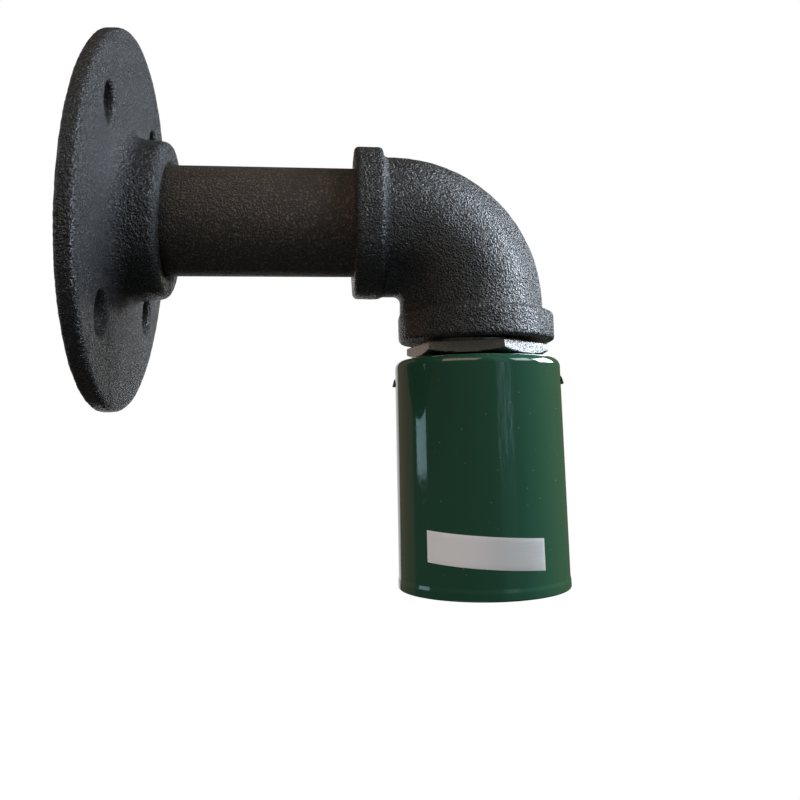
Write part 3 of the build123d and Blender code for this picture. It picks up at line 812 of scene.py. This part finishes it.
def cup():
    """The drawn cup, with a rounded shoulder and a slightly rolled mouth."""
    top, bottom = CUP_HIGH.z, CUP_LOW.z
    bead = CUP_MOUTH_R + BEAD_OUT
    outline = rounded([
        (TUBE_R, top, 0.15 * MM),
        (CUP_R, top, CUP_CORNER),
        (CUP_MOUTH_R, bottom + BEAD_H, 1.2 * MM),
        (bead, bottom + BEAD_H - BEAD_STEP, 0.6 * MM),
        (bead, bottom, 0.35 * MM),
        (CUP_MOUTH_R - CUP_WALL, bottom, 0.25 * MM),
        (CUP_R - CUP_WALL, top - CUP_WALL, CUP_CORNER - CUP_WALL),
        (TUBE_R, top - CUP_WALL, 0.15 * MM),
    ], steps=12)
    mesh = lathe(outline, segments=224, centre=(LAMP_X, 0.0))
    piece = new_piece("enamel_cup", mesh, "lamp_head", "green_enamel")
    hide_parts("lamp_cup")


def nibs():
    """Two nibs lanced out of the cup's wall, under its shoulder."""
    bm = bmesh.new()
    high = CUP_HIGH.z - NIB_DROP
    low = high - NIB_H
    root = CUP_R - NIB_ROOT
    for side in (1, -1):
        rows = []
        for share in (-0.5, -0.3, 0.3, 0.5):
            out = NIB_OUT * (1 - (abs(share) / 0.5) ** 4 * NIB_FLANK)
            profile = (
                (root, high),
                (CUP_R + out * 0.5, high - NIB_H * 0.45),
                (CUP_R + out, high - NIB_H * 0.95),
                (CUP_R + out * 0.9, low),
                (root, low),
            )
            rows.append([bm.verts.new((side * r, share * NIB_W, z)) for r, z in profile])
        for row, after in zip(rows, rows[1:]):
            bridge(bm, row, after)
        bm.faces.new(rows[0])
        bm.faces.new(rows[-1])
    mesh = closed_mesh(bm, "nibs", angle=40.0)
    turn = Matrix.Rotation(math.radians(NIB_TURN), 4, "Z")
    mesh.transform(Matrix.Translation((LAMP_X, 0, 0)) @ turn)
    new_piece("cup_nibs", mesh, "lamp_head", "green_enamel")


cup()
nibs()


# ---- the bare foil label ---------------------------------------------------------------

LABEL_WIDE = 27.3 * MM
LABEL_TALL = 6.4 * MM
LABEL_THICK = 0.09 * MM
LABEL_GLUE = 0.02 * MM             # its back's distance from the enamel
LABEL_EDGE = 0.08 * MM             # its face falls off over about this width
LABEL_EDGE_SHARE = 0.25            # down to this share of its thickness
LABEL_TURN = -8.6                  # its middle, in degrees to the right of the cup's front
LABEL_Z = -75.1 * MM
LABEL_TILT = 4.0                   # its right end hangs lower


def label_point(u, v, lift):
    """A point of the label's back (lift 0) or face (lift 1). u and v run from -0.5 to 0.5."""
    inset = min((0.5 - abs(u)) * LABEL_WIDE, (0.5 - abs(v)) * LABEL_TALL)
    height = LABEL_GLUE + lift * LABEL_THICK * min(1.0, inset / LABEL_EDGE + LABEL_EDGE_SHARE)
    across = u * LABEL_WIDE
    z = LABEL_Z + v * LABEL_TALL - across * math.tan(math.radians(LABEL_TILT))
    angle = math.radians(LABEL_TURN) + across / CUP_R
    r = wall_radius(z) + height
    return LAMP_X + r * math.sin(angle), -r * math.cos(angle), z


def label():
    """A thin foil patch that follows the cup's wall."""
    columns, rows = 64, 12
    bm = bmesh.new()
    skins = []
    for lift in (0.0, 1.0):
        grid = []
        for column in range(columns + 1):
            u = column / columns - 0.5
            places = [label_point(u, row / rows - 0.5, lift) for row in range(rows + 1)]
            grid.append([bm.verts.new(place) for place in places])
        skins.append(grid)
    for grid in skins:
        for line, after in zip(grid, grid[1:]):
            for row in range(rows):
                bm.faces.new((line[row], after[row], after[row + 1], line[row + 1]))
    rim = [(c, 0) for c in range(columns)] + [(columns, r) for r in range(rows)]
    rim += [(c, rows) for c in range(columns, 0, -1)] + [(0, r) for r in range(rows, 0, -1)]
    back, face = skins
    for (c, r), (d, s) in zip(rim, rim[1:] + rim[:1]):
        bm.faces.new((back[c][r], back[d][s], face[d][s], face[c][r]))
    mesh = closed_mesh(bm, "label", angle=40.0)
    new_piece("foil_label", mesh, "lamp_head", "bright_plate", SILVER_FOIL)


label()


# ---- the lampholder's inside -----------------------------------------------------------

SHELL_WALL = 0.4 * MM
SHELL_NECK = 4.0 * MM              # plain length between the thread and the floor
SHELL_EYE = 8.5 * MM               # radius of the hole in its floor
E27_PITCH = 3.629 * MM
E27_DEPTH = 1.05 * MM
E27_LEAD_IN = 1.4 * MM
HEAD_R = 2.7 * MM
HEAD_H = 1.8 * MM
SLOT_W = 0.8 * MM
SLOT_DEPTH = 0.9 * MM
SHANK_R = 1.5 * MM
SHANK_TIP_R = 1.1 * MM
SHANK_TIP = 0.4 * MM
SHANK_START = 0.6                  # where it starts, as a share of the head's height


def lamp_thread():
    """The rolled brass thread, with its plain neck and floor."""
    outer = (SHELL_HIGH.x - SHELL_LOW.x) / 2
    inner = outer - SHELL_WALL
    top = SHELL_HIGH.z
    floor = top - SHELL_WALL
    foot = floor - SHELL_NECK
    length = foot - SHELL_LOW.z
    mesh = settled(
        bpy.data.meshes.new("seed"),
        ("NODES", {"node_group": rolled_shell()}, {
            "Radius": inner,
            "Length": length,
            "Pitch": E27_PITCH,
            "Depth": E27_DEPTH,
            "Lead In": E27_LEAD_IN,
            "Material": FINISHES["brass"],
        }),
        ("SOLIDIFY", {"thickness": SHELL_WALL, "offset": 1.0, "use_even_offset": True}, None),
    )
    mesh.transform(Matrix.Translation((LAMP_X, 0, SHELL_LOW.z + length / 2)))
    smooth(mesh, 60.0)
    thread = new_piece("lamp_thread", mesh, "lamp_head", "brass")
    outline = rounded([
        (SHELL_EYE, top, 0.1 * MM),
        (inner, top, 0.5 * MM),
        (inner, foot + SHELL_WALL, 0.3 * MM),
        (outer, foot, 0.1 * MM),
        (inner, foot, 0.1 * MM),
        (inner - SHELL_WALL, foot + SHELL_WALL, 0.3 * MM),
        (inner - SHELL_WALL, floor, 0.3 * MM),
        (SHELL_EYE, floor, 0.1 * MM),
    ], steps=4)
    neck = lathe(outline, segments=96, centre=(LAMP_X, 0.0))
    new_piece("lamp_thread_neck", neck, "lamp_head", "brass")
    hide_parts("screw_shell")


def bracket_screws():
    """The two slotted screws that hold the porcelain to its bracket."""
    reach = (SCREWS_HIGH.y - SCREWS_LOW.y) / 2 - HEAD_R
    middle = SCREWS_LOW.z + HEAD_H / 2
    seed = bpy.data.meshes.new("seed")
    seed.from_pydata([(LAMP_X, reach, middle), (LAMP_X, -reach, middle)], [], [])
    heads = settled(
        seed,
        ("NODES", {"node_group": slotted_heads()}, {
            "Radius": HEAD_R,
            "Height": HEAD_H,
            "Slot Width": SLOT_W,
            "Slot Depth": SLOT_DEPTH,
            "Material": FINISHES["zinc_plate"],
        }),
        ("BEVEL", {"width": 0.18 * MM, "segments": 3, "limit_method": "ANGLE"}, None),
    )
    smooth(heads)
    piece = new_piece("bracket_screw_heads", heads, "lamp_head", "zinc_plate")
    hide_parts("bracket_screws")
    start = SCREWS_LOW.z + HEAD_H * SHANK_START
    shank = [
        (0.0, start),
        (SHANK_R, start),
        (SHANK_R, SCREWS_HIGH.z - SHANK_TIP),
        (SHANK_TIP_R, SCREWS_HIGH.z),
        (0.0, SCREWS_HIGH.z),
    ]
    for side, word in ((1, "front"), (-1, "back")):
        mesh = lathe(shank, segments=32, centre=(LAMP_X, side * reach))
        new_piece(f"bracket_screw_shank_{word}", mesh, "lamp_head", "zinc_plate")


lamp_thread()
bracket_screws()


# ---- the cable's cut end behind the flange ---------------------------------------------

CORE_R = 1.1 * MM
CORE_ROUNDING = 0.15 * MM
CORE_RING = 1.45 * MM              # from the cable's axis to each core's
CORE_OUT = 4.0 * MM                # insulation beyond the sheath's end
CORE_HIDDEN = 1.0 * MM             # and inside the sheath
COPPER_R = 0.65 * MM
COPPER_ROUNDING = 0.2 * MM
COPPER_START = 3.5 * MM            # the copper, both ends measured from the sheath's end
COPPER_OUT = 6.5 * MM


def rod(start, end, radius, rounding, segments):
    """A round rod along X with a rounded edge at its end."""
    outline = rounded([
        (0.0, start, 0),
        (radius, start, 0),
        (radius, end, rounding),
        (0.0, end, 0),
    ], steps=3)
    return lathe(outline, segments, along_x=True)


def cores():
    """Three insulated cores that stand out of the sheath, each with bared copper."""
    for index, slot in enumerate(("lead_brown", "lead_blue", "lead_green")):
        angle = math.radians(90 + 120 * index)
        place = Matrix.Translation((0, CORE_RING * math.cos(angle), CORE_RING * math.sin(angle)))
        start, end = CABLE_END + CORE_HIDDEN, CABLE_END - CORE_OUT
        sleeve = rod(start, end, CORE_R, CORE_ROUNDING, segments=32)
        sleeve.transform(place)
        new_piece(f"core_{slot}", sleeve, "elbow_arm", slot)
        start, end = CABLE_END - COPPER_START, CABLE_END - COPPER_OUT
        copper = rod(start, end, COPPER_R, COPPER_ROUNDING, segments=24)
        copper.transform(place)
        new_piece(f"copper_{slot}", copper, "elbow_arm", "brass", COPPER)


cores()


# ---- finishes of the solids that stay --------------------------------------------------

slot_of = {row["node"]: row["material_slot"] for row in frame["record"]["subparts"]}
for node, solid in frame["nodes"].items():
    solid.data.materials.clear()
    solid.data.materials.append(FINISHES[slot_of[node]])


# ---- room, lights and camera -----------------------------------------------------------

# The room is painted on directions: x points right, y away from the camera and z up. A soft
# edge is the place where it starts and the place where it is full.
BACKDROP_LEAN = 0.12               # the white's middle lies this far to the left
BACKDROP_EDGE = (0.955, 0.97)      # about the cosine of the angle from its middle
BACKDROP_RIGHT = (0.12, 0.02)
PANE_LEFT = (0.24, 0.30)           # the pane's sides as distance across by distance in front
PANE_RIGHT = (0.80, 0.66)
BRANCH_SCALE = 45.0
BRANCH_EDGE = (0.50, 0.62)
BRANCH_FOOT = (-0.09, 0.05)
WALL_RIGHT = (-0.42, -0.50)
WALL_NEAR = (0.34, 0.44)
CORNER_LEFT = (0.42, 0.50)
CORNER_NEAR = (0.40, 0.50)
FAR_RIGHT = (0.7, 0.95)
DIM_BELOW = (-0.6, 0.1, 0.35, 1.0)     # two heights, and the strengths at them

ROOM_COLOUR = (0.10, 0.09, 0.075)
RIGHT_COLOUR = (0.17, 0.15, 0.10)
PANE_COLOUR = (0.16, 0.21, 0.20)
BRANCH_COLOUR = (1.1, 1.6, 1.8)
WALL_COLOUR = (0.30, 0.19, 0.14)
CORNER_COLOUR = (0.12, 0.11, 0.08)

# Azimuth 0 is the camera's side and 90 the lamp's. The size is across and up.
LIGHTS = (
    # name, azimuth, elevation, distance, size, power, colour
    ("key", 101, 23, 0.8, (0.50, 0.35), 17.0, (0.79, 0.89, 1.0)),
    ("window", 60, 32, 0.8, (0.36, 0.32), 3.6, (0.78, 0.89, 1.0)),
    ("left_strip", -95, 12, 0.8, (0.26, 0.46), 1.1, (0.56, 0.85, 1.0)),
    ("bounce", -30, -48, 0.8, (0.6, 0.4), 0.9, (0.88, 0.94, 1.0)),
    ("warm_top", -36, 47, 1.0, (0.8, 0.5), 3.9, (1.0, 0.77, 0.58)),
)
AIM = Vector((0.07, 0.0, -0.03))

EYE = (0.0499698, -0.196139, -0.0507718)
EYE_YAW, EYE_PITCH, EYE_ROLL = 0.1170, 0.2482, -0.0171      # radians
SENSOR_WIDE = 36.0
FOCAL_PIXELS = 814.22
PHOTO_PIXELS = 800
SHIFT_RIGHT, SHIFT_UP = -0.0197, -0.2169                    # shares of the picture's width


def room():
    """White for the eye, and a dim room for light and mirror rays.

    Behind the object, mirror rays see the white as well. The room has a brown wall at the
    back left, a darker corner at the back right and, on the camera's side, a window pane
    crossed by branches on the right."""
    world = bpy.data.worlds.new("room")
    bpy.context.scene.world = world
    world.use_nodes = True
    graph = Graph(world.node_tree)
    path = graph.node("ShaderNodeLightPath").outputs
    way = graph.node("ShaderNodeTexCoord").outputs["Generated"]
    x, y, z = graph.parts(way)

    edge = graph.steps(y - x * BACKDROP_LEAN, *BACKDROP_EDGE)
    behind = edge * graph.steps(x, *BACKDROP_RIGHT)
    mirrored = graph.math("MAXIMUM", path["Is Glossy Ray"], path["Is Transmission Ray"])
    white = graph.math("MAXIMUM", path["Is Camera Ray"], mirrored * behind)

    across = x / graph.math("MAXIMUM", y * -1.0, 0.01)
    pane = graph.steps(across, *PANE_LEFT) * graph.steps(across, *PANE_RIGHT)
    twigs = graph.node(
        "ShaderNodeTexNoise", inputs={"Vector": way, "Scale": BRANCH_SCALE, "Detail": 5.0}
    ).outputs[0]
    branches = pane * graph.steps(twigs, *BRANCH_EDGE) * graph.steps(z, *BRANCH_FOOT)
    wall = graph.steps(x, *WALL_RIGHT) * graph.steps(y, *WALL_NEAR)
    corner = graph.steps(x, *CORNER_LEFT) * graph.steps(y, *CORNER_NEAR)
    colour = ROOM_COLOUR
    for share, other in (
        (graph.steps(x, *FAR_RIGHT), RIGHT_COLOUR),
        (pane, PANE_COLOUR),
        (branches, BRANCH_COLOUR),
        (wall, WALL_COLOUR),
        (corner, CORNER_COLOUR),
    ):
        colour = graph.blend(share, colour, other)

    dim = graph.tree.nodes["Background"]
    graph.feed(dim.inputs["Color"], colour)
    graph.feed(dim.inputs["Strength"], graph.steps(z, *DIM_BELOW))
    bright = graph.node("ShaderNodeBackground", inputs={"Color": (1, 1, 1, 1), "Strength": 1.0})
    mixed = graph.node("ShaderNodeMixShader", inputs={0: white, 1: dim, 2: bright})
    graph.feed(graph.tree.nodes["World Output"].inputs["Surface"], mixed)


def soft_light(name, azimuth, elevation, distance, size, power, colour):
    """A rectangular light aimed at the object."""
    data = bpy.data.lights.new(name, "AREA")
    data.shape = "RECTANGLE"
    data.size, data.size_y = size
    data.energy = power
    data.color = colour
    light = bpy.data.objects.new(name, data)
    bpy.context.scene.collection.objects.link(light)
    a, e = math.radians(azimuth), math.radians(elevation)
    away = Vector((math.sin(a) * math.cos(e), -math.cos(a) * math.cos(e), math.sin(e)))
    light.location = AIM + away * distance
    light.rotation_mode = "QUATERNION"
    light.rotation_quaternion = (-away).to_track_quat("-Z", "Y")


def camera():
    """The photograph's view: a little from below, with the lens shifted downwards."""
    forward = Vector((
        math.sin(EYE_YAW) * math.cos(EYE_PITCH),
        math.cos(EYE_YAW) * math.cos(EYE_PITCH),
        math.sin(EYE_PITCH),
    ))
    level = Vector((math.cos(EYE_YAW), -math.sin(EYE_YAW), 0))
    upright = level.cross(forward)
    right = level * math.cos(EYE_ROLL) + upright * math.sin(EYE_ROLL)
    up = upright * math.cos(EYE_ROLL) - level * math.sin(EYE_ROLL)
    data = bpy.data.cameras.new("camera")
    data.sensor_width = SENSOR_WIDE
    data.lens = SENSOR_WIDE * FOCAL_PIXELS / PHOTO_PIXELS
    data.shift_x = SHIFT_RIGHT
    data.shift_y = SHIFT_UP
    data.clip_start = 0.01
    eye = bpy.data.objects.new("camera", data)
    bpy.context.scene.collection.objects.link(eye)
    turn = Matrix((right, up, -forward)).transposed()
    eye.matrix_world = Matrix.Translation(EYE) @ turn.to_4x4()
    bpy.context.scene.camera = eye


room()
for light in LIGHTS:
    soft_light(*light)
camera()
bpy.context.scene.view_settings.view_transform = "Standard"
